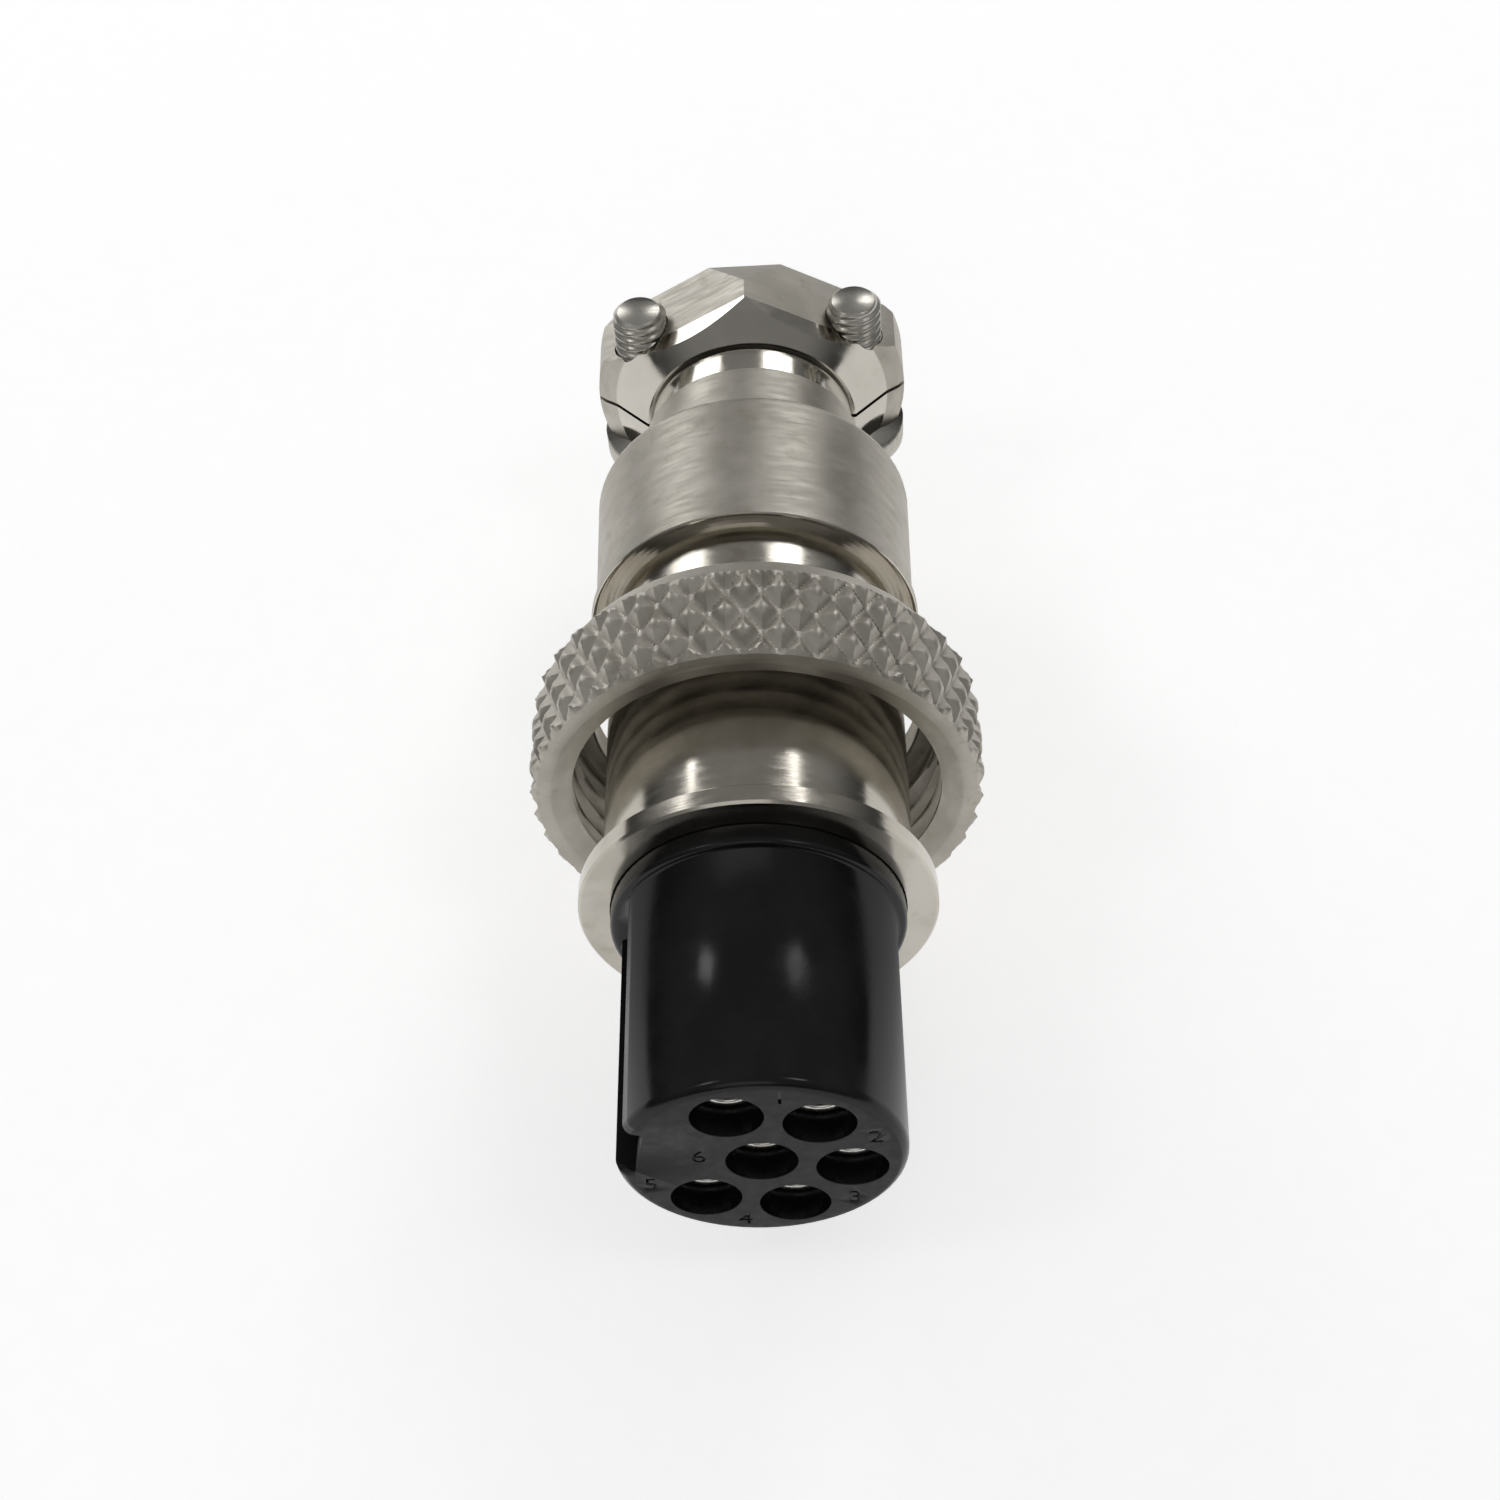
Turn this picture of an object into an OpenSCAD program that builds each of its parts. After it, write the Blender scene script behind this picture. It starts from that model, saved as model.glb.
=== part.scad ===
// Circular six-way cable plug: a loose knurled coupling nut round a flanged sleeve that holds
// a moulded socket insert, screwed into a rear shell with a two-screw cable clamp.
// The plug's axis is Y, with the mating nose towards -Y. The origin lies on that axis where
// the nose meets its shoulder. +Z is the side of the clamp's loose saddle.

/* [Insert] */
// Radius of the insulating nose that enters the socket
nose_r = 5.35; // [5:0.05:5.6]
// Length of the nose in front of its shoulder
nose_len = 10.1; // [8:0.1:12]
// Rounding of the nose's front edge
nose_edge = 0.45; // [0.2:0.05:0.8]
// Step from the nose out to its shoulder
shoulder_step = 0.42; // [0.3:0.02:0.5]
// Length of the shoulder
shoulder_len = 2.6; // [2:0.1:3.5]
// Length of the insert behind its shoulder
insert_tail = 7.3; // [5:0.1:9]
// Width of the keyway along the nose
key_w = 2.6; // [1.5:0.1:3.2]
// Depth of the keyway
key_depth = 0.9; // [0.4:0.05:1.1]
// Place of the keyway and of the empty contact position round the axis
key_angle = 169; // [0:1:359]

/* [Contacts] */
// Radius of the circle of outer contacts
pitch_r = 3.33; // [3.2:0.01:3.5]
// Radius of the holes in the insert
hole_r = 1.33; // [1.2:0.01:1.45]
// Clearance between a contact and its hole
contact_fit = 0.04; // [0.02:0.01:0.1]
// Radius of the socket bore that takes a pin
socket_r = 0.8; // [0.6:0.05:0.9]
// Depth of the socket bore
socket_depth = 8; // [5:0.5:10]
// Distance of a contact's mouth behind the insert's face
contact_recess = 1.3; // [0.5:0.1:2]
// Width of the slots that split a contact's spring fingers
slot_w = 0.24; // [0.15:0.01:0.28]
// Gap between the collars of neighbouring contacts on the insert's rear face
collar_gap = 0.23; // [0.15:0.01:0.4]
// Thickness of a collar
collar_len = 0.7; // [0.4:0.1:1]
// Length of the solder cup
cup_len = 4; // [3:0.5:4.5]
// Wall of the solder cup
cup_wall = 0.28; // [0.2:0.02:0.4]

/* [Front sleeve] */
// Clearance round the insert in the sleeve
insert_fit = 0.04; // [0.02:0.01:0.1]
// Distance from the insert's shoulder edge back to the flange's front face
flange_back = 0.87; // [0.5:0.05:1.5]
// Reach of the flange past the hole in the nut's lip
flange_catch = 0.25; // [0.2:0.05:0.5]
// Thickness of the flange
flange_len = 0.9; // [0.6:0.1:1.5]
// Wall of the sleeve's barrel
barrel_wall = 0.76; // [0.7:0.02:0.9]
// Length of the barrel between the flange and the rear shell
barrel_len = 14.45; // [13:0.1:17]
// Step from the barrel in to the sleeve's rear thread
tail_step = 0.3; // [0.2:0.02:0.35]
// Length of that thread
tail_len = 4.8; // [3:0.1:5.5]

/* [Coupling nut] */
// Gap between the sleeve's flange and the crests of the nut's thread
thread_gap = 0.45; // [0.3:0.05:0.7]
// Wall from those crests to the points of the knurl
nut_wall = 1.75; // [1.6:0.05:2.2]
// Place of the nut's front face, counted from the flange's front face
nut_back = 5.6; // [2:0.1:8]
// Length of the knurled band
knurl_len = 4.35; // [3.6:0.05:5]
// Number of points round the knurl
knurl_count = 40; // [24:2:60]
// Rows of half points along the knurl
knurl_rows = 4; // [2:1:6]
// Depth of the knurl
knurl_depth = 0.36; // [0.2:0.02:0.5]
// Share of a point's half width that is worn flat
knurl_flat = 0.22; // [0.05:0.01:0.5]
// Length of the plain tapered rear of the nut
nut_tail = 1.05; // [0.8:0.05:1.5]
// Drop from the points of the knurl to the edge of the nut's rear face
nut_tail_drop = 0.95; // [0.7:0.05:1.2]
// Widening of the nut's mouth past the thread's crests
mouth_flare = 0.9; // [0.5:0.05:1]
// Depth of the chamfer at the mouth
mouth_len = 0.4; // [0.3:0.1:1]
// Gap between the hole in the nut's rear lip and the barrel
lip_gap = 0.65; // [0.4:0.05:0.7]
// Thickness of the rear lip
lip_len = 1.2; // [0.8:0.1:1.6]

/* [Rear shell] */
// Wall of the shell round the sleeve's thread
shell_wall = 0.93; // [0.8:0.01:1.1]
// Growth of that radius towards the rear
shell_draft = 0.08; // [0:0.02:0.15]
// Step from the shell out to the rim at its front edge
rim_step = 0.2; // [0.1:0.02:0.3]
// Length of the rim
rim_len = 0.35; // [0.2:0.05:0.6]
// Depth of the hollow in the shell's front face
front_dish = 0.4; // [0.2:0.05:0.5]
// Length of the shell from the sleeve's seat to its shoulder
shell_len = 6.85; // [6.2:0.05:9]
// Length of the cone from the shoulder to the neck
cone_len = 1.3; // [0.5:0.1:1.8]
// Rounding of the shell's rear edge
shell_edge = 0.45; // [0.2:0.05:0.8]
// Radius of the hollow for the wires
hollow_r = 5.2; // [4.8:0.05:5.4]
// Radius of the neck behind the shoulder
neck_r = 4.92; // [4.8:0.02:5]
// Length from the shell's shoulder to the end of the neck
neck_len = 3.85; // [3:0.05:5]
// Step from the neck in to the bright groove before the clamp
groove_step = 0.3; // [0.1:0.02:0.5]
// Length of that groove
groove_len = 1.6; // [1:0.1:2.5]
// Radius of the cable's passage
cable_r = 3.45; // [2.5:0.05:3.5]
// Radius of the thread clearance between the shell and the sleeve
thread_fit = 0.04; // [0.02:0.01:0.1]
// Radius of the set screw that locks the sleeve
set_r = 1; // [0.8:0.05:1.2]
// Distance of the set screw behind the shell's front face
set_back = 2.4; // [1.8:0.1:3]

/* [Cable clamp] */
// Wall of the clamp outside its screws
clamp_wall = 1; // [0.8:0.05:1.4]
// Length of the clamp
clamp_len = 4.95; // [4.6:0.05:5.5]
// Step from the groove out to the edge of the clamp's front face
clamp_step = 0.2; // [0.1:0.05:0.4]
// Width of the front face outside the turned chamfer
face_width = 0.85; // [0.6:0.05:1.1]
// Lean of that face
face_lean = 0.35; // [0.1:0.05:0.6]
// Rounding of the clamp's outer edges
clamp_edge = 0.3; // [0.1:0.05:0.5]
// Height of the ridge where the saddle's two flats meet
ridge_h = 6.24; // [6:0.02:6.5]
// Slope of the flats
flat_slope = 30; // [25:1:35]
// Length of the bevel at the ridge's rear end
bevel_len = 2.1; // [1:0.1:2.5]
// Depth of that bevel at the rear face
bevel_depth = 0.95; // [0.4:0.05:1.1]
// Depth to which the foot is milled below the underside's own ridge
foot_cut = 0.49; // [0.3:0.01:0.8]
// Gap between the saddle and the shell's half of the clamp
split_gap = 0.2; // [0.1:0.05:0.5]
// Gap between the saddle's front face and the groove's end
saddle_gap = 0.2; // [0.1:0.05:0.3]
// Width of the grip grooves in the passage
grip_w = 0.7; // [0.4:0.1:0.9]
// Depth of the grip grooves
grip_depth = 0.25; // [0.1:0.05:0.4]

/* [Clamp screws] */
// Radius of the clamp screws
screw_r = 1.25; // [1.1:0.05:1.3]
// Web between the cable's passage and each screw
screw_web = 0.2; // [0.15:0.05:0.5]
// Distance of the screws behind the end of the groove
screw_back = 2.72; // [2.4:0.02:3]
// Clearance round a screw in both halves of the clamp
screw_fit = 0.05; // [0.03:0.01:0.1]
// Height of the screws' tips above the axis
tip_h = 4.85; // [4:0.05:5.5]
// Chamfer of a screw's tip
tip_edge = 0.3; // [0.1:0.05:0.4]
// Depth below the axis of the seats for the heads
seat_h = 2.2; // [1.8:0.1:2.6]
// Radius of the heads
head_r = 2.2; // [1.9:0.05:2.3]
// Height of the heads
head_len = 1.8; // [1.2:0.1:2.2]
// Width of the slots in the heads
drive_w = 0.5; // [0.3:0.05:0.7]
// Depth of the slots in the heads
drive_depth = 0.6; // [0.3:0.1:1]

/* [Hidden] */
$fn = 96;

eps = 0.01;
over = 1;
contacts_round = 6;

shoulder_r = nose_r + shoulder_step;
insert_end = shoulder_len + insert_tail;
contact_r = hole_r - contact_fit;
collar_r = (pitch_r - collar_gap) / 2;
contact_front = contact_recess - nose_len;

flange_y = flange_back;
barrel_y = flange_y + flange_len;
shell_y = flange_y + flange_len + barrel_len;
tail_end = shell_y + tail_len;
sleeve_bore = nose_r + insert_fit;
barrel_r = sleeve_bore + barrel_wall;
tail_r = barrel_r - tail_step;
lip_r = barrel_r + lip_gap;
flange_r = lip_r + flange_catch;

thread_r = flange_r + thread_gap;
nut_r = thread_r + nut_wall;
mouth_r = thread_r + mouth_flare;
nut_tail_r = nut_r - nut_tail_drop;
nut_y = flange_y + nut_back;
nut_end = nut_y + knurl_len + nut_tail;

shoulder_y = shell_y + shell_len;
neck_end = shoulder_y + neck_len;
clamp_y = neck_end + groove_len;
clamp_end = clamp_y + clamp_len;
groove_r = neck_r - groove_step;
screw_x = cable_r + screw_web + screw_r;
clamp_r = screw_x + screw_r + clamp_wall;
clamp_face_r = groove_r + clamp_step;
chamfer_r = clamp_r - face_width;
foot_h = ridge_h - foot_cut;
screw_y = clamp_y + screw_back;
thread_bore = tail_r + thread_fit;
shell_r = thread_bore + shell_wall;
rim_r = shell_r + rim_step;
shell_end_r = shell_r + shell_draft;
dish_fit = 0.1;
dish_y = shell_y - front_dish;
rim_edge = 0.06;
screw_hole = screw_r + screw_fit;

metal = [0.66, 0.64, 0.60];
bright_metal = [0.76, 0.74, 0.70];
black = [0.05, 0.05, 0.05];
silver = [0.82, 0.81, 0.78];

// Turns a shape drawn up the Z axis so that it lies along Y, its top towards the rear
module lie() rotate([-90, 0, 0]) children();

// A turned body: each point is [radius, distance along the plug's axis]
module turned(points) lie() rotate_extrude() polygon(points);

// A round bar along Y from one distance to another
module bar(r, from, to) translate([0, from, 0]) lie() cylinder(r = r, h = to - from);

// Points of a quarter circle about [r, y], from one angle to another
function arc(r, y, radius, from, to, steps = 6) =
    [for (k = [0 : steps]) let (a = from + (to - from) * k / steps)
        [r + radius * cos(a), y + radius * sin(a)]];

// Points of a hollow face that curves forward from [r1, y] to [r2, y - depth]
function dish(r1, r2, y, depth, steps = 5) =
    [for (k = [0 : steps]) let (a = 90 * k / steps)
        [r1 + (r2 - r1) * sin(a), y - depth * (1 - cos(a))]];

// Place round the axis of contact number i, the last one being in the middle
function contact_angle(i) = key_angle - 360 * i / contacts_round;
function contact_place(i) = i == contacts_round
    ? [0, 0]
    : pitch_r * [cos(contact_angle(i)), sin(contact_angle(i))];
module at_contact(i) {
    p = contact_place(i);
    translate([p[0], 0, p[1]]) children();
}

module insert() color(black) difference() {
    turned(concat(
        [[0, -nose_len], [nose_r - nose_edge, -nose_len]],
        arc(nose_r - nose_edge, nose_edge - nose_len, nose_edge, -90, 0),
        [[nose_r, 0], [shoulder_r - shoulder_step / 2, 0]],
        arc(shoulder_r - shoulder_step / 2, shoulder_step / 2, shoulder_step / 2, -90, 0),
        [[shoulder_r, shoulder_len], [nose_r, shoulder_len], [nose_r, insert_end], [0, insert_end]]
    ));
    for (i = [1 : contacts_round])
        at_contact(i) bar(hole_r, -nose_len - over, insert_end + over);
    rotate([0, -key_angle, 0])
        translate([nose_r - key_depth, -nose_len - over, -key_w / 2])
            cube([key_depth + over, nose_len + over, key_w]);
}

module contact(i) color(silver) at_contact(i) difference() {
    turned([
        [0, contact_front], [contact_r, contact_front],
        [contact_r, insert_end], [collar_r, insert_end],
        [collar_r, insert_end + collar_len], [contact_r, insert_end + collar_len],
        [contact_r, insert_end + collar_len + cup_len], [0, insert_end + collar_len + cup_len]
    ]);
    bar(socket_r, contact_front - over, contact_front + socket_depth);
    for (turn = [0, 90])
        rotate([0, turn, 0])
            translate([-slot_w / 2, contact_front - over, -contact_r - over])
                cube([slot_w, socket_depth * 0.7 + over, 2 * (contact_r + over)]);
    bar(contact_r - cup_wall, insert_end + collar_len, insert_end + collar_len + cup_len + over);
    translate([-contact_r - over, insert_end + collar_len + cup_len / 3, contact_r * 0.3])
        cube([2 * (contact_r + over), cup_len, contact_r]);
}

module front_sleeve() color(bright_metal) difference() {
    turned([
        [sleeve_bore, shoulder_len], [shoulder_r + insert_fit, shoulder_len],
        [shoulder_r + insert_fit, flange_y], [flange_r - 0.1, flange_y],
        [flange_r, flange_y + 0.1], [flange_r, barrel_y - 0.1], [flange_r - 0.1, barrel_y],
        [barrel_r, barrel_y], [barrel_r, shell_y], [tail_r, shell_y],
        [tail_r, tail_end - 0.3], [tail_r - 0.3, tail_end], [sleeve_bore, tail_end]
    ]);
    translate([0, shell_y + set_back, -tail_r]) cylinder(r = set_r, h = 0.6, center = true);
}

// A diamond-knurled band up the Z axis. Its grid points stand alternately on pyramids and in
// the grooves between them, and each pyramid's tip is cut to a small flat diamond, which has
// five points: its centre, left, right, front and rear.
module knurled_band() {
    columns = 2 * knurl_count;
    grid_step = 360 / columns;
    row_step = knurl_len / knurl_rows;
    function is_tip(i, j) = (i + j) % 2 == 1;
    function at(i, j, r) = [r * cos(grid_step * i), r * sin(grid_step * i), row_step * j];
    function place(i, j) = 5 * (j * columns + i % columns);
    points = concat(
        [for (j = [0 : knurl_rows], i = [0 : columns - 1], k = [0 : 4])
            let (flat = is_tip(i, j) ? knurl_flat : 0, r = is_tip(i, j) ? nut_r : nut_r - knurl_depth)
                at(i + flat * [0, -1, 1, 0, 0][k], j + flat * [0, 0, 0, -1, 1][k], r)],
        [[0, 0, 0], [0, 0, knurl_len]]
    );
    front_middle = len(points) - 2;
    rear_middle = len(points) - 1;
    // The side of a pyramid from its tip's points p and q down to the groove from v to w
    function side(v, w, p, q) = [[v, w, q], [v, q, p]];
    slopes = [for (j = [0 : knurl_rows - 1], i = [0 : columns - 1])
        let (a = place(i, j), b = place(i + 1, j), c = place(i + 1, j + 1), d = place(i, j + 1))
            each is_tip(i, j)
                ? concat(side(d, b, a + 4, a + 2), [[a, a + 4, a + 2]],
                         side(b, d, c + 3, c + 1), [[c, c + 3, c + 1]])
                : concat(side(a, c, b + 1, b + 4), [[b, b + 1, b + 4]],
                         side(c, a, d + 2, d + 3), [[d, d + 2, d + 3]])];
    function rim(j) = [for (i = [0 : columns - 1]) let (a = place(i, j))
        each is_tip(i, j) ? [a + 1, a, a + 2] : [a]];
    front = rim(0);
    rear = rim(knurl_rows);
    faces = concat(
        slopes,
        [for (i = [0 : len(front) - 1]) [front_middle, front[i], front[(i + 1) % len(front)]]],
        [for (i = [0 : len(rear) - 1]) [rear_middle, rear[(i + 1) % len(rear)], rear[i]]]
    );
    polyhedron(points, faces);
}

module coupling_nut() color(metal) difference() {
    union() {
        translate([0, nut_y, 0]) lie() knurled_band();
        turned([
            [0, nut_end - nut_tail - 0.5], [nut_r - knurl_depth - 0.15, nut_end - nut_tail - 0.5],
            [nut_r - knurl_depth - 0.15, nut_end - nut_tail + 0.2], [nut_tail_r, nut_end], [0, nut_end]
        ]);
    }
    turned([
        [0, nut_y - over], [mouth_r, nut_y - over], [mouth_r, nut_y], [thread_r, nut_y + mouth_len],
        [thread_r, nut_end - lip_len], [lip_r, nut_end - lip_len],
        [lip_r, nut_end + over], [0, nut_end + over]
    ]);
}

// The clamp turned round the plug's axis: a chamfer at 45 degrees, then a face that leans
// back a little, and a plain outside
module clamp_blank() {
    face_y = clamp_y + saddle_gap;
    chamfer_y = face_y + chamfer_r - clamp_face_r;
    turned([
        [0, face_y], [clamp_face_r, face_y], [chamfer_r, chamfer_y],
        [clamp_r - clamp_edge, chamfer_y + face_lean],
        [clamp_r, chamfer_y + face_lean + clamp_edge],
        [clamp_r, clamp_end - clamp_edge], [clamp_r - clamp_edge, clamp_end], [0, clamp_end]
    ]);
}

// The wedge that bevels the rear end of the saddle's ridge
module ridge_bevel()
    translate([-clamp_r, 0, 0]) rotate([90, 0, 90]) linear_extrude(2 * clamp_r)
        polygon([[clamp_end - bevel_len, ridge_h], [clamp_end, ridge_h - bevel_depth],
                 [clamp_end + over, ridge_h - bevel_depth - over / 2],
                 [clamp_end + over, ridge_h + over], [clamp_end - bevel_len, ridge_h + over]]);

// Section of the upper half, with its two flats
module saddle_section() {
    edge = clamp_r + over;
    polygon([[-edge, -split_gap], [-edge, edge * tan(flat_slope) - ridge_h], [0, -ridge_h],
             [edge, edge * tan(flat_slope) - ridge_h], [edge, -split_gap]]);
}

// Section of the lower half, with the foot between its two flats
module lower_section() {
    edge = clamp_r + over;
    foot_x = (ridge_h - foot_h) / tan(flat_slope);
    polygon([[-edge, 0], [edge, 0], [edge, ridge_h - edge * tan(flat_slope)],
             [foot_x, foot_h], [-foot_x, foot_h], [-edge, ridge_h - edge * tan(flat_slope)]]);
}

module sectioned(from) translate([0, from, 0]) lie() linear_extrude(clamp_end - from + over) children();

module grip_grooves() {
    for (k = [-1, 0, 1])
        translate([0, screw_y + k * 2 * grip_w, 0])
            bar(cable_r + grip_depth, -grip_w / 2, grip_w / 2);
}

module rear_shell() color(metal) difference() {
    union() {
        turned(concat(
            dish(barrel_r + dish_fit, rim_r - rim_edge, shell_y, front_dish),
            [[rim_r, dish_y + rim_edge], [rim_r, dish_y + rim_len], [shell_r, dish_y + rim_len + rim_edge]],
            arc(shell_end_r - shell_edge, shoulder_y - shell_edge, shell_edge, 0, 90),
            [[neck_r, shoulder_y + cone_len], [neck_r, neck_end], [groove_r, neck_end],
             [groove_r, clamp_y], [0, clamp_y], [0, shell_y]]
        ));
        bar(groove_r, clamp_y - over, clamp_y + saddle_gap + eps);
        intersection() {
            clamp_blank();
            sectioned(clamp_y) lower_section();
        }
    }
    translate([-clamp_r, clamp_y, 0]) cube([2 * clamp_r, clamp_len, clamp_r]);
    bar(thread_bore, shell_y - over, tail_end + 0.3);
    bar(hollow_r, shell_y, shoulder_y - 0.6);
    bar(cable_r, shell_y, clamp_end + over);
    intersection() {
        grip_grooves();
        translate([-clamp_r, clamp_y + eps, -clamp_r]) cube([2 * clamp_r, clamp_len + over, clamp_r]);
    }
    for (side = [-1, 1])
        translate([side * screw_x, screw_y, 0]) {
            translate([0, 0, -clamp_r - over]) cylinder(r = screw_hole, h = clamp_r + 2 * over);
            translate([0, 0, -clamp_r - over]) cylinder(r = head_r + 0.15, h = clamp_r + over - seat_h);
        }
    translate([0, shell_y + set_back, -shell_r - over]) cylinder(r = set_r + thread_fit, h = over + 2);
}

module set_screw() color(bright_metal)
    translate([0, shell_y + set_back, 0]) difference() {
        translate([0, 0, -shell_r + 0.1]) cylinder(r = set_r, h = shell_r - 0.1 - tail_r + 0.25);
        translate([-set_r - over, -0.15, -shell_r - over]) cube([2 * (set_r + over), 0.3, over + 0.5]);
    }

module clamp_saddle() color(metal) difference() {
    intersection() {
        clamp_blank();
        sectioned(clamp_y) saddle_section();
    }
    ridge_bevel();
    bar(cable_r, clamp_y - over, clamp_end + over);
    grip_grooves();
    for (side = [-1, 1])
        translate([side * screw_x, screw_y, 0]) cylinder(r = screw_hole, h = clamp_r + over);
}

module clamp_screw(side) color(bright_metal)
    translate([side * screw_x, screw_y, 0]) difference() {
        rotate_extrude() polygon(concat(
            [[0, -seat_h - screw_fit - head_len]],
            arc(head_r - 0.7, -seat_h - screw_fit - head_len + 0.7, 0.7, -90, 0),
            [[head_r, -seat_h - screw_fit], [screw_r, -seat_h - screw_fit],
             [screw_r, tip_h - tip_edge], [screw_r - tip_edge, tip_h], [0, tip_h]]
        ));
        for (turn = [0, 90])
            rotate([0, 0, turn])
                translate([-head_r * 0.6, -drive_w / 2, -seat_h - screw_fit - head_len - over])
                    cube([head_r * 1.2, drive_w, over + drive_depth]);
    }

insert();
for (i = [1 : contacts_round])
    contact(i);
front_sleeve();
coupling_nut();
rear_shell();
set_screw();
clamp_saddle();
clamp_screw(-1);  // clamp_screw_left
clamp_screw(1);  // clamp_screw_right
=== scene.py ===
import math

import bmesh
import bpy
from mathutils import Matrix, Vector


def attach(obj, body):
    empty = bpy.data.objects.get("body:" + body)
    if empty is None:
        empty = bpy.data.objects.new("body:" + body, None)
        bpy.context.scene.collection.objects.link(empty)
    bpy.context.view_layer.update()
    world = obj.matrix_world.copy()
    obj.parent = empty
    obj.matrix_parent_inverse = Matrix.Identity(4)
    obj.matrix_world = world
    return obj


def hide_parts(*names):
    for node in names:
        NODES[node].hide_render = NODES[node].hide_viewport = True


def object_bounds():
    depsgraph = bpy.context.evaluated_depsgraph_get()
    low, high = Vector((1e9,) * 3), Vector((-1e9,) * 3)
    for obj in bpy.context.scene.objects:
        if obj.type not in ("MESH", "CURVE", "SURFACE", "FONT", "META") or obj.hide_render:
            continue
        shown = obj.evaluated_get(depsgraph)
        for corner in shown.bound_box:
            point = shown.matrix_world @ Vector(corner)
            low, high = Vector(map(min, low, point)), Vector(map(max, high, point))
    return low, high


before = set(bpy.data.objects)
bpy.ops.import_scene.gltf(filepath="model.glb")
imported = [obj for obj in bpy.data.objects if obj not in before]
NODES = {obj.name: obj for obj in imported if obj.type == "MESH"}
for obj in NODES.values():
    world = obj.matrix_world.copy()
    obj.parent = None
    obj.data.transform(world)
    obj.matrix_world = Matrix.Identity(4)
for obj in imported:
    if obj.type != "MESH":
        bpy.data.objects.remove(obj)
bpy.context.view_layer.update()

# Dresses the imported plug: a finish for every piece, a rounded knurl and threads, sunk digits,
# the contacts' mouths, and a pale floor with soft lamps. Lengths named in capitals are in mm.

MM = 0.001
SCENE = bpy.context.scene


# --- small helpers for shader nodes ---------------------------------------------------------

class Shader:
    """A material's node tree, with short calls for the nodes used here."""

    def __init__(self, name):
        self.material = bpy.data.materials.new(name)
        self.material.use_nodes = True
        self.tree = self.material.node_tree
        self.surface = self.tree.nodes["Principled BSDF"]
        self.place = self.tree.nodes.new("ShaderNodeTexCoord").outputs["Object"]

    def link(self, source, target):
        self.tree.links.new(source, target)

    def put(self, value, socket):
        if isinstance(value, bpy.types.NodeSocket):
            self.link(value, socket)
        else:
            socket.default_value = value

    def math(self, kind, a, b=0.0, c=0.0, clamp=False):
        node = self.tree.nodes.new("ShaderNodeMath")
        node.operation = kind
        node.use_clamp = clamp
        for value, socket in zip((a, b, c), node.inputs):
            self.put(value, socket)
        return node.outputs[0]

    def axis(self, letter):
        node = self.tree.nodes.new("ShaderNodeSeparateXYZ")
        self.link(self.place, node.inputs[0])
        return node.outputs["XYZ".index(letter)]

    def radius(self):
        """Distance from the plug's axis, in metres."""
        x, z = self.axis("X"), self.axis("Z")
        squares = self.math("ADD", self.math("MULTIPLY", x, x), self.math("MULTIPLY", z, z))
        return self.math("SQRT", squares)

    def scaled(self, factors):
        node = self.tree.nodes.new("ShaderNodeMapping")
        self.link(self.place, node.inputs["Vector"])
        node.inputs["Scale"].default_value = factors
        return node.outputs[0]

    def noise(self, scale, detail=4.0, rough=0.55, stretch=None):
        node = self.tree.nodes.new("ShaderNodeTexNoise")
        self.link(self.scaled(stretch) if stretch else self.place, node.inputs["Vector"])
        node.inputs["Scale"].default_value = scale
        node.inputs["Detail"].default_value = detail
        node.inputs["Roughness"].default_value = rough
        return node.outputs["Fac"]

    def ramp(self, value, low, high, out_low=0.0, out_high=1.0):
        """A smooth step from out_low, where value is low, to out_high, where it is high."""
        node = self.tree.nodes.new("ShaderNodeMapRange")
        node.interpolation_type = "SMOOTHSTEP"
        self.put(value, node.inputs["Value"])
        for key, number in (("From Min", low), ("From Max", high),
                            ("To Min", out_low), ("To Max", out_high)):
            node.inputs[key].default_value = number
        return node.outputs["Result"]

    def blend(self, share, a, b):
        """Mix of two numbers."""
        node = self.tree.nodes.new("ShaderNodeMix")
        for value, key in ((share, 0), (a, 2), (b, 3)):
            self.put(value, node.inputs[key])
        return node.outputs[0]

    def mix(self, share, a, b):
        """Mix of two colours."""
        node = self.tree.nodes.new("ShaderNodeMix")
        node.data_type = "RGBA"
        self.put(share, node.inputs["Factor"])
        self.put(a, node.inputs[6])
        self.put(b, node.inputs[7])
        return node.outputs[2]

    def bump(self, height, distance, strength=1.0):
        node = self.tree.nodes.new("ShaderNodeBump")
        node.inputs["Distance"].default_value = distance
        node.inputs["Strength"].default_value = strength
        self.link(height, node.inputs["Height"])
        self.link(node.outputs["Normal"], self.surface.inputs["Normal"])

    def set(self, **values):
        """Sets or links the shader's own sockets, with _ for a space in a socket's name."""
        for key, value in values.items():
            self.put(value, self.surface.inputs[key.replace("_", " ")])


def rgb(r, g, b):
    return (r, g, b, 1.0)


# --- materials ------------------------------------------------------------------------------

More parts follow.
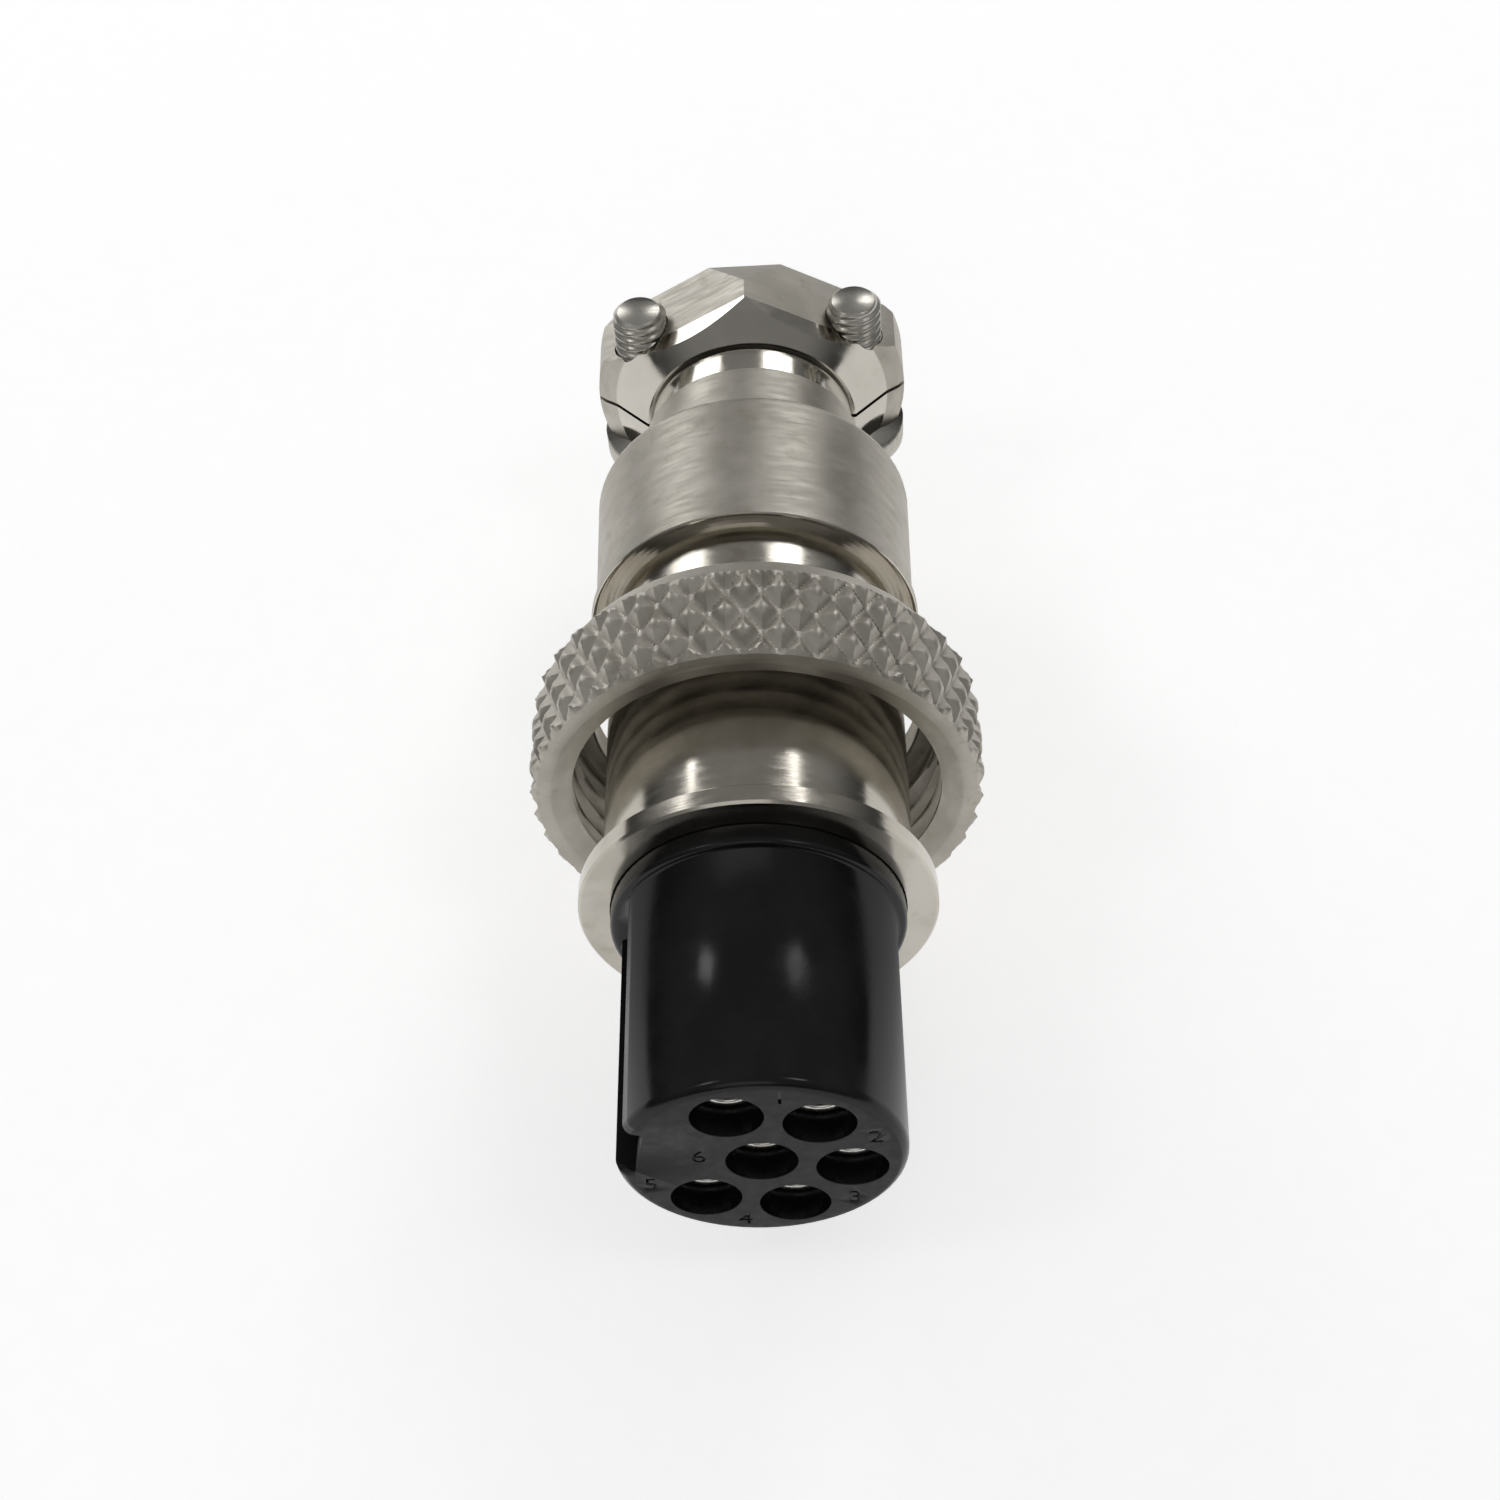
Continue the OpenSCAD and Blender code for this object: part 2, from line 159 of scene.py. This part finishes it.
def plated(name, light, dark, rough_low, rough_high, grain=1.0, bright=None):
    """Nickel plate: clouded satin metal with turning lines, and bright bands where bright says."""
    s = Shader(name)
    clouds = s.noise(260, 5, 0.6)
    patches = s.noise(900, 4, 0.65)
    stains = s.noise(120, 3, 0.5)
    streaks = s.noise(700, 3, 0.5, stretch=(1.0, 6.0, 1.0))
    colour = s.mix(s.ramp(clouds, 0.36, 0.64), rgb(*dark), rgb(*light))
    brown = tuple(0.80 * d * k for d, k in zip(dark, (1.0, 0.93, 0.82)))
    colour = s.mix(s.math("MULTIPLY", s.ramp(patches, 0.56, 0.74), 0.45), colour, rgb(*brown))
    colour = s.mix(s.math("MULTIPLY", s.ramp(stains, 0.55, 0.75), 0.25), colour, rgb(*brown))
    roughness = s.ramp(s.math("ADD", s.math("MULTIPLY", clouds, 0.5),
                              s.math("MULTIPLY", streaks, 0.5)), 0.36, 0.64, rough_low, rough_high)
    if bright:
        mask = bright(s)
        polish = s.ramp(patches, 0.3, 0.7, 0.10, 0.20)
        roughness = s.blend(mask, roughness, polish)
        gloss = tuple(min(1.0, 1.06 * v) for v in light)
        colour = s.mix(s.math("MULTIPLY", mask, 0.6), colour, rgb(*gloss))
    s.set(Base_Color=colour, Roughness=roughness, Metallic=1.0)
    fine = s.noise(5200, 3, 0.6, stretch=(1.0, 2.5, 1.0))
    lines = s.noise(9000, 1, 0.4, stretch=(0.02, 1.0, 0.02))
    height = s.math("ADD", s.math("MULTIPLY", fine, 0.6 * grain), s.math("MULTIPLY", lines, 0.4))
    s.bump(height, 0.000004, 0.5)
    return s.material


def within(s, value, low, high, edge=0.04):
    """1 where a length in millimetres lies between low and high, with a soft edge."""
    mm = s.math("MULTIPLY", value, 1000.0)
    up = s.ramp(mm, low - edge, low + edge)
    down = s.ramp(mm, high - edge, high + edge, 1.0, 0.0)
    return s.math("MULTIPLY", up, down)


def clamp_chamfer(s):
    """The turned chamfer round the front of the cable clamp."""
    return s.math("MULTIPLY", within(s, s.axis("Y"), 28.55, 30.3), within(s, s.radius(), 4.7, 6.32))


def shell_bright(s):
    """The groove before the clamp, the chamfer round the clamp and the shell's front face."""
    y, r = s.axis("Y"), s.radius()
    groove = s.math("MULTIPLY", within(s, y, 26.95, 28.74), within(s, r, 4.4, 4.9))
    front = s.math("MULTIPLY", within(s, y, 15.7, 16.25), within(s, r, 6.1, 7.0, 0.02))
    both = s.math("MAXIMUM", groove, clamp_chamfer(s))
    return s.math("MAXIMUM", both, front)


def make_insulator():
    """Black moulding: glossy round the nose, grained and duller on its front face. The floors of the
    sunk digits lie behind the face band and take the nose's darker, glossier black: the gloss is a
    real finish, and the darker colour is painted shade in the digit recesses.
    """
    s = Shader("insulator_black")
    # The face band ends at -10.06 mm, so the digit floors at FACE_Y + DIGIT_DEPTH get the darker side
    # colour: painted shade in the recesses.
    face = within(s, s.axis("Y"), -10.5, -10.06, 0.02)
    clouds = s.noise(420, 4, 0.6)
    dust = s.noise(2600, 5, 0.7)
    side = s.mix(s.ramp(clouds, 0.35, 0.65), rgb(0.0065, 0.0065, 0.0070), rgb(0.011, 0.011, 0.0115))
    flat = s.mix(s.ramp(dust, 0.35, 0.7), rgb(0.020, 0.0205, 0.0205), rgb(0.031, 0.031, 0.0305))
    s.set(Base_Color=s.mix(face, side, flat), Metallic=0.0, Specular_IOR_Level=0.32)
    gloss = s.ramp(clouds, 0.35, 0.65, 0.16, 0.24)
    matt = s.ramp(dust, 0.3, 0.7, 0.50, 0.66)
    s.set(Roughness=s.blend(face, gloss, matt))
    height = s.math("ADD", s.math("MULTIPLY", dust, 0.7), s.math("MULTIPLY", clouds, 0.3))
    s.bump(height, 0.000010, 0.35)
    return s.material


def make_contact():
    s = Shader("contact_silver")
    clouds = s.noise(1400, 4, 0.6)
    tarnish = s.noise(520, 3, 0.5)
    colour = s.mix(s.ramp(clouds, 0.35, 0.65), rgb(0.62, 0.60, 0.55), rgb(0.80, 0.785, 0.745))
    colour = s.mix(s.math("MULTIPLY", s.ramp(tarnish, 0.5, 0.72), 0.5), colour, rgb(0.34, 0.30, 0.24))
    s.set(Base_Color=colour, Metallic=1.0, Roughness=s.ramp(clouds, 0.3, 0.7, 0.16, 0.32))
    s.bump(s.noise(7000, 3, 0.6), 0.000003, 0.4)
    return s.material


LIGHT, DARK = (0.55, 0.522, 0.468), (0.43, 0.405, 0.355)
SATIN = plated("nickel_satin", LIGHT, DARK, 0.42, 0.56)
SHELL = plated("nickel_shell", LIGHT, DARK, 0.42, 0.56, bright=shell_bright)
SADDLE = plated("nickel_saddle", LIGHT, DARK, 0.42, 0.56, bright=clamp_chamfer)
BRIGHT = plated("nickel_bright", (0.58, 0.55, 0.49), (0.47, 0.44, 0.385), 0.12, 0.22, 0.5)
STEEL = plated("screw_steel", (0.56, 0.54, 0.49), (0.38, 0.355, 0.31), 0.24, 0.38)
INSULATOR = make_insulator()
CONTACT = make_contact()


# --- pieces ---------------------------------------------------------------------------------

def dress(obj, material):
    obj.data.materials.clear()
    obj.data.materials.append(material)


def grid_mesh(name, rows, closed, material):
    """Quads through rows of points, each row a ring. closed joins the last row to the first."""
    count = len(rows[0])
    mesh = bpy.data.meshes.new(name)
    points = [p for row in rows for p in row]
    last = len(rows) if closed else len(rows) - 1
    faces = []
    for j in range(last):
        a, b = j * count, ((j + 1) % len(rows)) * count
        for i in range(count):
            k = (i + 1) % count
            faces.append((a + i, b + i, b + k, a + k))
    mesh.from_pydata(points, [], faces)
    mesh.validate()
    obj = bpy.data.objects.new(name, mesh)
    SCENE.collection.objects.link(obj)
    for polygon in mesh.polygons:
        polygon.use_smooth = True
    dress(obj, material)
    return obj


def smooth_by_angle(obj, degrees):
    bpy.context.view_layer.objects.active = obj
    obj.select_set(True)
    bpy.ops.object.shade_smooth_by_angle(angle=math.radians(degrees), keep_sharp_edges=True)
    obj.select_set(False)


def outward(obj):
    mesh = bmesh.new()
    mesh.from_mesh(obj.data)
    bmesh.ops.recalc_face_normals(mesh, faces=mesh.faces)
    mesh.to_mesh(obj.data)
    mesh.free()


# --- scene ----------------------------------------------------------------------------------

LENS_MM, SENSOR_MM = 57.1, 36
VIEW_ROLL, VIEW_YAW, VIEW_TILT = 3.3, -0.487, 39.23
VIEW_SIDE, VIEW_AHEAD, VIEW_UP = -0.345, 42.8, 75.9
SKY_LOW, SKY_HIGH = 0.05, 0.26
FLOOR_HALF, FLOOR_GAP, FLOOR_GLOW = 1.5, 0.00002, 0.62
PLUG_MIDDLE = (0, 0.012, 0)
LAMPS = (  # name, place, width and height, watts
    ("key_left", (-0.32, 0.475, 0.237), (0.18, 0.26), 0.50),
    ("key_right", (0.21, 0.475, 0.34), (0.18, 0.24), 0.45),
    ("top_left", (-0.34, -0.12, 0.45), (0.10, 0.10), 0.12),
    ("top_right", (0.27, -0.12, 0.48), (0.10, 0.10), 0.12),
    ("front_fill", (-0.10, -0.60, 0.35), (0.40, 0.30), 0.22),
)


def make_camera():
    """Looks down on the plug from in front of its nose, turned a little round the plug's axis."""
    data = bpy.data.cameras.new("camera")
    data.lens = LENS_MM
    data.sensor_width = SENSOR_MM
    data.clip_start = 0.005
    data.clip_end = 10
    camera = bpy.data.objects.new("camera", data)
    SCENE.collection.objects.link(camera)
    roll = Matrix.Rotation(math.radians(VIEW_ROLL), 4, "Y")
    yaw = Matrix.Rotation(math.radians(VIEW_YAW), 4, "Z")
    place = Matrix.Translation(Vector((VIEW_SIDE, FACE_Y - VIEW_AHEAD, VIEW_UP)) * MM)
    look = Matrix.Rotation(math.radians(VIEW_TILT), 4, "X")
    camera.matrix_world = roll @ yaw @ place @ look
    SCENE.camera = camera


def seen(tree):
    """1 for the rays that look at the background itself: camera, glossy and transmission."""
    path = tree.nodes.new("ShaderNodeLightPath")
    total = path.outputs["Is Camera Ray"]
    for name in ("Is Glossy Ray", "Is Transmission Ray"):
        node = tree.nodes.new("ShaderNodeMath")
        node.operation = "MAXIMUM"
        tree.links.new(total, node.inputs[0])
        tree.links.new(path.outputs[name], node.inputs[1])
        total = node.outputs[0]
    return total


def make_world():
    """A soft sky that brightens upwards; the camera sees white."""
    world = bpy.data.worlds.new("studio")
    SCENE.world = world
    world.use_nodes = True
    tree = world.node_tree
    back = tree.nodes["Background"]
    direction = tree.nodes.new("ShaderNodeTexCoord").outputs["Generated"]
    split = tree.nodes.new("ShaderNodeSeparateXYZ")
    tree.links.new(direction, split.inputs[0])
    rise = tree.nodes.new("ShaderNodeMapRange")
    rise.interpolation_type = "SMOOTHSTEP"
    tree.links.new(split.outputs["Z"], rise.inputs["Value"])
    for key, number in (("From Min", 0.02), ("From Max", 0.55),
                        ("To Min", SKY_LOW), ("To Max", SKY_HIGH)):
        rise.inputs[key].default_value = number
    tree.links.new(rise.outputs["Result"], back.inputs["Strength"])
    back.inputs["Color"].default_value = rgb(1, 1, 1)
    white = tree.nodes.new("ShaderNodeBackground")
    white.inputs["Color"].default_value = rgb(1, 1, 1)
    white.inputs["Strength"].default_value = 1.0
    path = tree.nodes.new("ShaderNodeLightPath")
    mix = tree.nodes.new("ShaderNodeMixShader")
    tree.links.new(path.outputs["Is Camera Ray"], mix.inputs[0])
    tree.links.new(back.outputs[0], mix.inputs[1])
    tree.links.new(white.outputs[0], mix.inputs[2])
    tree.links.new(mix.outputs[0], tree.nodes["World Output"].inputs["Surface"])


def make_floor():
    """A pale floor under the nut, which keeps the plug's shadow and looks white where it is lit."""
    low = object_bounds()[0]
    mesh = bpy.data.meshes.new("floor")
    half = FLOOR_HALF
    z = low[2] - FLOOR_GAP
    mesh.from_pydata([(-half, -half, z), (half, -half, z), (half, half, z), (-half, half, z)],
                     [], [(0, 1, 2, 3)])
    floor = bpy.data.objects.new("floor", mesh)
    SCENE.collection.objects.link(floor)
    s = Shader("floor_paper")
    grain = s.noise(900, 3, 0.5)
    s.set(Base_Color=s.mix(s.ramp(grain, 0.3, 0.7), rgb(0.80, 0.80, 0.80), rgb(0.82, 0.82, 0.82)),
          Roughness=0.9, Metallic=0.0)
    s.set(Emission_Color=rgb(1, 1, 1))
    s.set(Emission_Strength=s.math("MULTIPLY", seen(s.tree), FLOOR_GLOW))
    mesh.materials.append(s.material)


def area_light(name, place, size, power):
    """A soft box that looks at the middle of the plug."""
    data = bpy.data.lights.new(name, "AREA")
    data.shape = "RECTANGLE"
    data.size, data.size_y = size
    data.energy = power
    light = bpy.data.objects.new(name, data)
    SCENE.collection.objects.link(light)
    light.location = place
    aim = Vector(PLUG_MIDDLE) - Vector(place)
    light.rotation_euler = aim.to_track_quat("-Z", "Y").to_euler()


def make_lights():
    """Two soft boxes behind the clamp, two small ones above the nose and a weak fill in front."""
    for lamp in LAMPS:
        area_light(*lamp)


# --- the insert and its contacts -----------------------------------------------------------

FACE_Y, PITCH_R, KEY_ANGLE, CONTACT_Y = -10.1, 3.33, 169.0, -8.8
DIGIT_H, DIGIT_DEPTH, DIGIT_R, CENTRE_DIGIT_R = 1.15, 0.10, 4.38, 2.30
LIP_RING_R, LIP_RING_BULGE = 1.06, 0.22


def polar(radius, degrees, y):
    angle = math.radians(degrees)
    return Vector((radius * math.cos(angle), y, radius * math.sin(angle))) * MM


def digit_cutter():
    """Plain digits, one beside each contact hole, standing upright across the insert's face."""
    cutter = bmesh.new()
    for number in range(1, 7):
        curve = bpy.data.curves.new("digit", "FONT")
        curve.body = str(number)
        curve.size = DIGIT_H * MM
        curve.extrude = DIGIT_DEPTH * MM
        curve.align_x, curve.align_y = "CENTER", "CENTER"
        text = bpy.data.objects.new("digit", curve)
        SCENE.collection.objects.link(text)
        if number < 6:
            place = polar(DIGIT_R, KEY_ANGLE - 60 * number - 30, FACE_Y)
        else:
            place = polar(CENTRE_DIGIT_R, KEY_ANGLE, FACE_Y)
        text.matrix_world = Matrix.Translation(place) @ Matrix.Rotation(math.pi / 2, 4, "X")
        bpy.context.view_layer.update()
        shape = bpy.data.meshes.new_from_object(
            text.evaluated_get(bpy.context.evaluated_depsgraph_get()))
        shape.transform(text.matrix_world)
        cutter.from_mesh(shape)
        bpy.data.objects.remove(text)
    bmesh.ops.remove_doubles(cutter, verts=cutter.verts, dist=0.000001)
    mesh = bpy.data.meshes.new("digits")
    cutter.to_mesh(mesh)
    cutter.free()
    obj = bpy.data.objects.new("digits", mesh)
    SCENE.collection.objects.link(obj)
    outward(obj)
    return obj


def make_insert():
    """The moulded insert as packed, with its contact numbers sunk into the front face."""
    mesh = NODES["insert"].data.copy()
    insert = bpy.data.objects.new("insert_moulded", mesh)
    SCENE.collection.objects.link(insert)
    solid = bmesh.new()
    solid.from_mesh(mesh)
    bmesh.ops.remove_doubles(solid, verts=solid.verts, dist=0.000001)
    solid.to_mesh(mesh)
    solid.free()
    cutter = digit_cutter()
    cut = insert.modifiers.new("digits", "BOOLEAN")
    cut.operation = "DIFFERENCE"
    cut.solver = "EXACT"
    cut.object = cutter
    bpy.context.view_layer.update()
    insert.data = bpy.data.meshes.new_from_object(
        insert.evaluated_get(bpy.context.evaluated_depsgraph_get()))
    insert.modifiers.clear()
    bpy.data.objects.remove(cutter)
    dress(insert, INSULATOR)
    smooth_by_angle(insert, 30)
    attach(insert, "plug")
    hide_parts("insert")


def make_contact_lips():
    """The rounded mouth of each contact, which glints inside its hole."""
    around, section = 40, 12
    for number in range(1, 7):
        centre = polar(PITCH_R if number < 6 else 0.0, KEY_ANGLE - 60 * number, CONTACT_Y)
        rows = []
        for j in range(section):
            tilt = 2 * math.pi * j / section
            r = LIP_RING_R + LIP_RING_BULGE * math.cos(tilt)
            depth = 0.7 * LIP_RING_BULGE * math.sin(tilt)
            rows.append([centre + Vector((r * math.cos(2 * math.pi * i / around), depth,
                                          r * math.sin(2 * math.pi * i / around))) * MM
                         for i in range(around)])
        lip = grid_mesh("contact_lip_%d" % number, rows, True, CONTACT)
        outward(lip)
        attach(lip, "plug")


# --- the coupling nut -----------------------------------------------------------------------

NUT_FRONT, NUT_END = 6.47, 11.87
NUT_R, THREAD_R, LIP_R, MOUTH_R, TAIL_R = 9.25, 7.5, 6.8, 8.4, 8.3
KNURL_LEN, KNURL_DEPTH, KNURL_POINTS, KNURL_ROWS = 4.35, 0.36, 40, 4
THREAD_PITCH, THREAD_DEPTH, LIP_LEN = 1.0, 0.5, 1.2
EDGE_BEVEL, BEVEL_SLOPE = 0.30, 1.1
STEPS_A_POINT, RINGS_A_ROW, THREAD_RINGS = 12, 7, 44


def to_odd(value):
    """Distance from value to the nearest odd number."""
    return abs((value % 2.0) - 1.0)


def knurl_height(turn, along):
    """0 in the grooves and 1 on the worn points; turn and along are counted in half points."""
    height = 1.0 - max(to_odd(turn + along), to_odd(turn - along))
    height = min(height / 0.80, 1.0)
    return 0.55 * height + 0.45 * height * height * (3.0 - 2.0 * height)


def saw(value):
    """A rounded ridge of one pitch: 0 on the crest, 1 in the root."""
    wave = 1.0 - abs(2.0 * (value % 1.0) - 1.0)
    return min(1.0, max(0.0, 1.35 * wave - 0.18))


def make_nut():
    """The knurled nut with rounded points, a bevelled front edge and its inner thread."""
    around = KNURL_POINTS * STEPS_A_POINT
    knurl_end = NUT_FRONT + KNURL_LEN
    rows = []

    def ring(y, radius):
        row = []
        for i in range(around):
            angle = 2 * math.pi * i / around
            r = radius(i, angle) if callable(radius) else radius
            row.append((r * math.cos(angle) * MM, y * MM, r * math.sin(angle) * MM))
        rows.append(row)

    def outside(y):
        def radius(i, angle):
            along = KNURL_ROWS * (y - NUT_FRONT) / KNURL_LEN
            r = NUT_R - KNURL_DEPTH * (1.0 - knurl_height(2 * i / STEPS_A_POINT, along))
            edge = min(y - NUT_FRONT, knurl_end - y)
            return min(r, NUT_R - max(0.0, EDGE_BEVEL - edge) * BEVEL_SLOPE)
        return radius

    steps = KNURL_ROWS * RINGS_A_ROW
    for k in range(steps + 1):
        y = NUT_FRONT + KNURL_LEN * k / steps
        ring(y, outside(y))
    ring(knurl_end + 0.08, 8.70)
    ring(NUT_END - 0.12, TAIL_R + 0.06)
    ring(NUT_END - 0.03, TAIL_R)
    ring(NUT_END, TAIL_R - 0.10)
    ring(NUT_END, LIP_R + 0.08)
    ring(NUT_END - 0.08, LIP_R)
    ring(NUT_END - LIP_LEN + 0.08, LIP_R)
    ring(NUT_END - LIP_LEN, LIP_R + 0.08)
    ring(NUT_END - LIP_LEN, THREAD_R)
    top, bottom = NUT_END - LIP_LEN - 0.25, NUT_FRONT + 0.40

    def thread(y):
        def radius(i, angle):
            fade = min(1.0, max(0.0, (top - y) / 0.5)) * min(1.0, max(0.0, (y - bottom) / 0.15))
            return THREAD_R + THREAD_DEPTH * fade * saw(y / THREAD_PITCH - angle / (2 * math.pi))
        return radius

    for k in range(THREAD_RINGS + 1):
        y = top + (bottom - top) * k / THREAD_RINGS
        ring(y, thread(y))
    ring(NUT_FRONT + 0.04, MOUTH_R - 0.10)
    ring(NUT_FRONT, MOUTH_R)
    ring(NUT_FRONT, NUT_R - KNURL_DEPTH - 0.16)
    nut = grid_mesh("nut_knurled", rows, True, SATIN)
    outward(nut)
    smooth_by_angle(nut, 34)
    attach(nut, "coupling_nut")
    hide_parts("coupling_nut")


# --- the clamp screws -----------------------------------------------------------------------

SCREW_X, SCREW_Y, SCREW_R, TIP_H = 4.9, 31.24, 1.25, 4.85
SCREW_PITCH, SCREW_GROOVE, SHANK_TOP, TIP_CHAMFER = 0.45, 0.20, 1.0, 0.30
SCREW_STEPS, SCREW_RINGS = 48, 86


def make_screw(side, x):
    """A clamp screw with its head as packed and a thread cut up to its chamfered tip."""
    node = NODES["clamp_screw_" + side]
    solid = bmesh.new()
    solid.from_mesh(node.data)
    bmesh.ops.remove_doubles(solid, verts=solid.verts, dist=0.000002)
    cut = bmesh.ops.bisect_plane(
        solid, geom=solid.verts[:] + solid.edges[:] + solid.faces[:], dist=1e-7,
        plane_co=(0, 0, SHANK_TOP * MM), plane_no=(0, 0, 1), clear_outer=True)
    ring_edges = [e for e in cut["geom_cut"] if isinstance(e, bmesh.types.BMEdge)]
    bmesh.ops.holes_fill(solid, edges=ring_edges, sides=0)
    around, steps = SCREW_STEPS, SCREW_RINGS
    low = SHANK_TOP - 0.02
    previous = None
    for k in range(steps + 1):
        z = low + (TIP_H - low) * k / steps
        row = []
        for i in range(around):
            angle = 2 * math.pi * i / around
            fade = min(1.0, max(0.0, (z - low) / 0.2))
            r = SCREW_R - SCREW_GROOVE * fade * saw(z / SCREW_PITCH - angle / (2 * math.pi))
            r = min(r, SCREW_R - max(0.0, z - (TIP_H - TIP_CHAMFER)))
            row.append(solid.verts.new(((x + r * math.cos(angle)) * MM,
                                        (SCREW_Y + r * math.sin(angle)) * MM, z * MM)))
        if previous:
            for i in range(around):
                j = (i + 1) % around
                solid.faces.new((previous[i], previous[j], row[j], row[i]))
        else:
            solid.faces.new(list(reversed(row)))
        previous = row
    solid.faces.new(previous)
    mesh = bpy.data.meshes.new("screw_" + side)
    solid.to_mesh(mesh)
    solid.free()
    screw = bpy.data.objects.new("screw_" + side, mesh)
    SCENE.collection.objects.link(screw)
    dress(screw, STEEL)
    outward(screw)
    smooth_by_angle(screw, 35)
    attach(screw, "screw_" + side)
    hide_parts("clamp_screw_" + side)


dress(NODES["insert"], INSULATOR)
dress(NODES["front_sleeve"], BRIGHT)
dress(NODES["coupling_nut"], SATIN)
dress(NODES["rear_shell"], SHELL)
dress(NODES["clamp_saddle"], SADDLE)
dress(NODES["set_screw"], STEEL)
for side in ("left", "right"):
    dress(NODES["clamp_screw_" + side], STEEL)
for number in range(1, 7):
    dress(NODES["contact_%d" % number], CONTACT)

make_insert()
make_contact_lips()
make_nut()
make_screw("left", -SCREW_X)
make_screw("right", SCREW_X)
make_camera()
make_world()
make_floor()
make_lights()
SCENE.view_settings.view_transform = "Standard"
